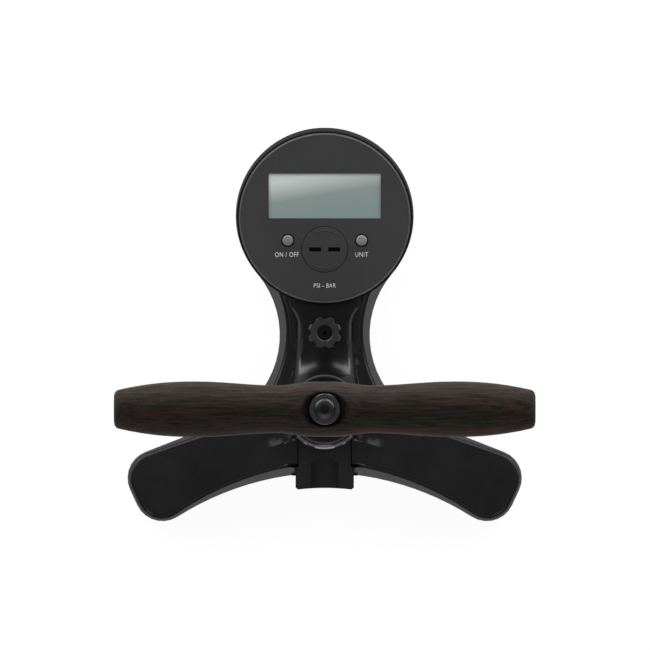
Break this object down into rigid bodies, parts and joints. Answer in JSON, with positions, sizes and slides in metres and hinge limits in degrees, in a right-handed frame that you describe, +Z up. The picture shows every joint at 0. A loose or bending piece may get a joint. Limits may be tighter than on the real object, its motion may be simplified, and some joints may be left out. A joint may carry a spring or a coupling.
{
  "type": "floor pump with digital gauge",
  "caption": "Upright bicycle floor pump with a three-armed cast base, leaning round digital gauge, U-slot chuck holder, lobed hose nut and turned wooden handle.",
  "frame": {"origin": "pump axis at floor level, on the underside of the hub's foot pad", "axes": "+Z up along the barrel, +Y towards the gauge, +X to the right of a user who faces the gauge"},
  "size_m": [0.208, 0.2049, 0.6459],
  "materials": {
    "cast_base": "satin black powder coat on cast aluminium",
    "rubber": "matt black rubber",
    "barrel_paint": "gloss black paint on steel tube",
    "anodised_black": "black anodised, turned",
    "brass": "turned",
    "bright_steel": "ground",
    "alloy": "turned",
    "dark_steel": "black oxide",
    "port_metal": "black anodised, turned",
    "holder_plastic": "moulded, fine grain",
    "gauge_plastic": "moulded, satin",
    "face_plate": "fine grain",
    "window_clear": "clear plastic",
    "display": "reflective display glass",
    "board": "solder mask",
    "button_grey": "moulded, satin",
    "wear_plastic": "smooth",
    "wood": "dark stained, oiled"
  },
  "bodies": {
    "base": {"base_casting": "cast_base", "foot_pads": "rubber", "barrel": "barrel_paint", "barrel_collar": "anodised_black", "barrel_seal": "rubber", "top_cap": "anodised_black", "rod_guide": "brass", "rod_wiper": "rubber", "cap_bumper": "rubber", "valve_body": "brass", "valve_spring": "bright_steel", "bottom_plug": "brass", "gallery_plug": "bright_steel", "hose_port": "port_metal", "chuck_holder": "holder_plastic", "holder_screws": "dark_steel", "gauge_housing": "gauge_plastic", "gauge_bezel": "gauge_plastic", "bezel_seal": "rubber", "face_plate": "face_plate", "lcd_window": "window_clear", "lcd_panel": "display", "circuit_board": "board", "button_switches": "bright_steel", "pressure_sensor": "brass", "sensor_seal": "rubber", "battery_holder": "gauge_plastic", "coin_cell": "bright_steel", "cover_seal": "rubber", "gauge_screws": "dark_steel", "housing_screws": "dark_steel"},
    "piston": {"piston_head": "alloy", "piston_seal": "rubber", "wear_ring": "wear_plastic"},
    "handle": {"piston_rod": "bright_steel", "piston_nut": "bright_steel", "handle_saddle": "dark_steel", "handle_grip": "wood", "handle_washer": "dark_steel", "handle_bolt": "dark_steel"},
    "power_button": {"power_button": "button_grey"},
    "unit_button": {"unit_button": "button_grey"},
    "battery_cover": {"battery_cover": "gauge_plastic"},
    "hose_nut": {"hose_nut": "port_metal"},
    "valve_poppet": {"valve_poppet": "bright_steel"}
  },
  "joints": [
    {"name": "pump_stroke", "type": "slide", "parent": "base", "child": "piston", "axis": [0, 0, 1], "range_m": [0, 0.5]},
    {"name": "handle_swivel", "type": "hinge", "parent": "piston", "child": "handle", "pos_m": [0, 0, 0.632], "axis": [0, 0, 1], "continuous": true},
    {"name": "power_press", "type": "slide", "parent": "base", "child": "power_button", "axis": [0, 0.1564, -0.9877], "range_m": [0, 0.0008], "stiffness_N_per_m": 800, "springref_m": -0.0005},
    {"name": "unit_press", "type": "slide", "parent": "base", "child": "unit_button", "axis": [0, 0.1564, -0.9877], "range_m": [0, 0.0008], "stiffness_N_per_m": 800, "springref_m": -0.0005},
    {"name": "battery_cover_turn", "type": "hinge", "parent": "base", "child": "battery_cover", "pos_m": [0, 0.08312, 0.04859], "axis": [0, -0.1564, 0.9877], "range_deg": [0, 60]},
    {"name": "hose_nut_turn", "type": "hinge", "parent": "base", "child": "hose_nut", "pos_m": [0, 0.0397, 0.036], "axis": [0, 0, 1], "continuous": true},
    {"name": "check_valve_lift", "type": "slide", "parent": "base", "child": "valve_poppet", "axis": [0, 0, -1], "range_m": [0, 0.0015], "stiffness_N_per_m": 300, "springref_m": -0.001, "deforming": ["valve_spring"]}
  ]
}
